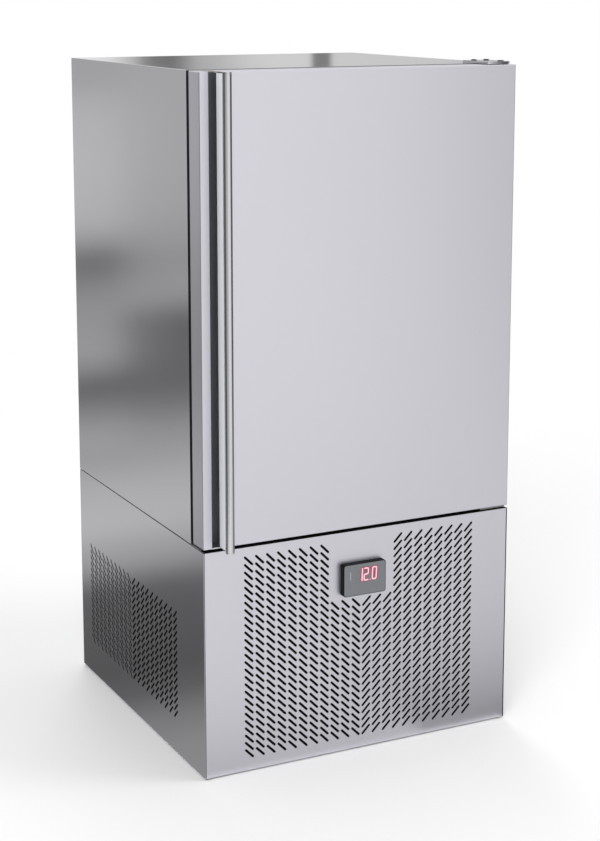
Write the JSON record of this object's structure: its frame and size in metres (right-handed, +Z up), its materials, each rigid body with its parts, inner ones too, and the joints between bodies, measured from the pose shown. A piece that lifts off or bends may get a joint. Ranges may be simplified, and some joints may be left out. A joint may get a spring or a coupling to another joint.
{
  "type": "blast chiller",
  "caption": "Upright blast chiller: insulated cabinet with a side-hung door and full-height grip, over a machine compartment with herringbone slots.",
  "frame": {"origin": "on the floor, under the centre of the machine's overall length and width", "axes": "+Z up, the door faces -Y, +X to the right when facing the door"},
  "size_m": [0.8, 0.866, 1.606],
  "materials": {
    "outer_steel": "satin",
    "inner_steel": "satin",
    "foam": "matte",
    "zinc_steel": "satin",
    "black_paint": "satin",
    "fin_aluminium": "satin",
    "handle_aluminium": "satin",
    "black_plastic": "matte",
    "seal_rubber": "matte",
    "display_lens": "gloss",
    "copper": "satin"
  },
  "bodies": {
    "cabinet": {"outer_casing": "outer_steel", "cabinet_insulation": "foam", "inner_liner": "inner_steel", "front_frame": "black_plastic", "rear_panel": "outer_steel", "rack_left": "inner_steel", "rack_right": "inner_steel", "wire_shelf_1": "inner_steel", "wire_shelf_2": "inner_steel", "fan_cowl": "inner_steel", "fan_motor_lower": "black_paint", "fan_motor_upper": "black_paint", "fan_guard_lower": "zinc_steel", "fan_guard_upper": "zinc_steel", "evaporator_coil": "fin_aluminium", "drip_tray": "inner_steel", "drain_tube": "black_plastic", "probe_gland": "black_plastic", "upper_hinge_bracket": "outer_steel", "lower_hinge_bracket": "zinc_steel", "front_grille_panel": "outer_steel", "left_side_panel": "outer_steel", "right_side_panel": "outer_steel", "rear_vent_panel": "zinc_steel", "mains_gland": "black_plastic", "support_frame": "zinc_steel", "post_front_left": "zinc_steel", "post_front_right": "zinc_steel", "post_rear_left": "zinc_steel", "post_rear_right": "zinc_steel", "base_plate": "zinc_steel", "foot_front_left": "seal_rubber", "foot_front_right": "seal_rubber", "foot_rear_left": "seal_rubber", "foot_rear_right": "seal_rubber", "controller_body": "black_plastic", "controller_lens": "display_lens", "condenser_coil": "fin_aluminium", "condenser_shroud": "zinc_steel", "condenser_fan_motor": "black_paint", "compressor": "black_paint", "liquid_receiver": "black_paint", "receiver_line": "copper", "filter_drier": "copper", "liquid_line": "copper", "suction_line": "copper", "discharge_line": "copper", "control_box": "black_plastic"},
    "door": {"door_outer_skin": "outer_steel", "door_insulation": "foam", "door_inner_panel": "inner_steel", "door_gasket": "seal_rubber", "handle_profile": "handle_aluminium", "handle_cap_bottom": "handle_aluminium", "handle_cap_top": "handle_aluminium", "hinge_bush_top": "black_plastic", "hinge_bush_bottom": "black_plastic"},
    "evaporator_fan_lower": {"evaporator_fan_lower": "black_plastic"},
    "evaporator_fan_upper": {"evaporator_fan_upper": "black_plastic"},
    "condenser_fan": {"condenser_fan": "black_plastic"}
  },
  "joints": [
    {"name": "door_hinge", "type": "hinge", "parent": "cabinet", "child": "door", "pos_m": [0.375, -0.353, 0.543], "axis": [0, 0, 1], "range_deg": [0, 110]},
    {"name": "lower_fan_spin", "type": "hinge", "parent": "cabinet", "child": "evaporator_fan_lower", "pos_m": [0, 0.1845, 0.85613], "axis": [0, 1, 0], "continuous": true},
    {"name": "upper_fan_spin", "type": "hinge", "parent": "cabinet", "child": "evaporator_fan_upper", "pos_m": [0, 0.1845, 1.28537], "axis": [0, 1, 0], "continuous": true},
    {"name": "condenser_fan_spin", "type": "hinge", "parent": "cabinet", "child": "condenser_fan", "pos_m": [0, -0.2147, 0.187], "axis": [0, 1, 0], "continuous": true}
  ]
}
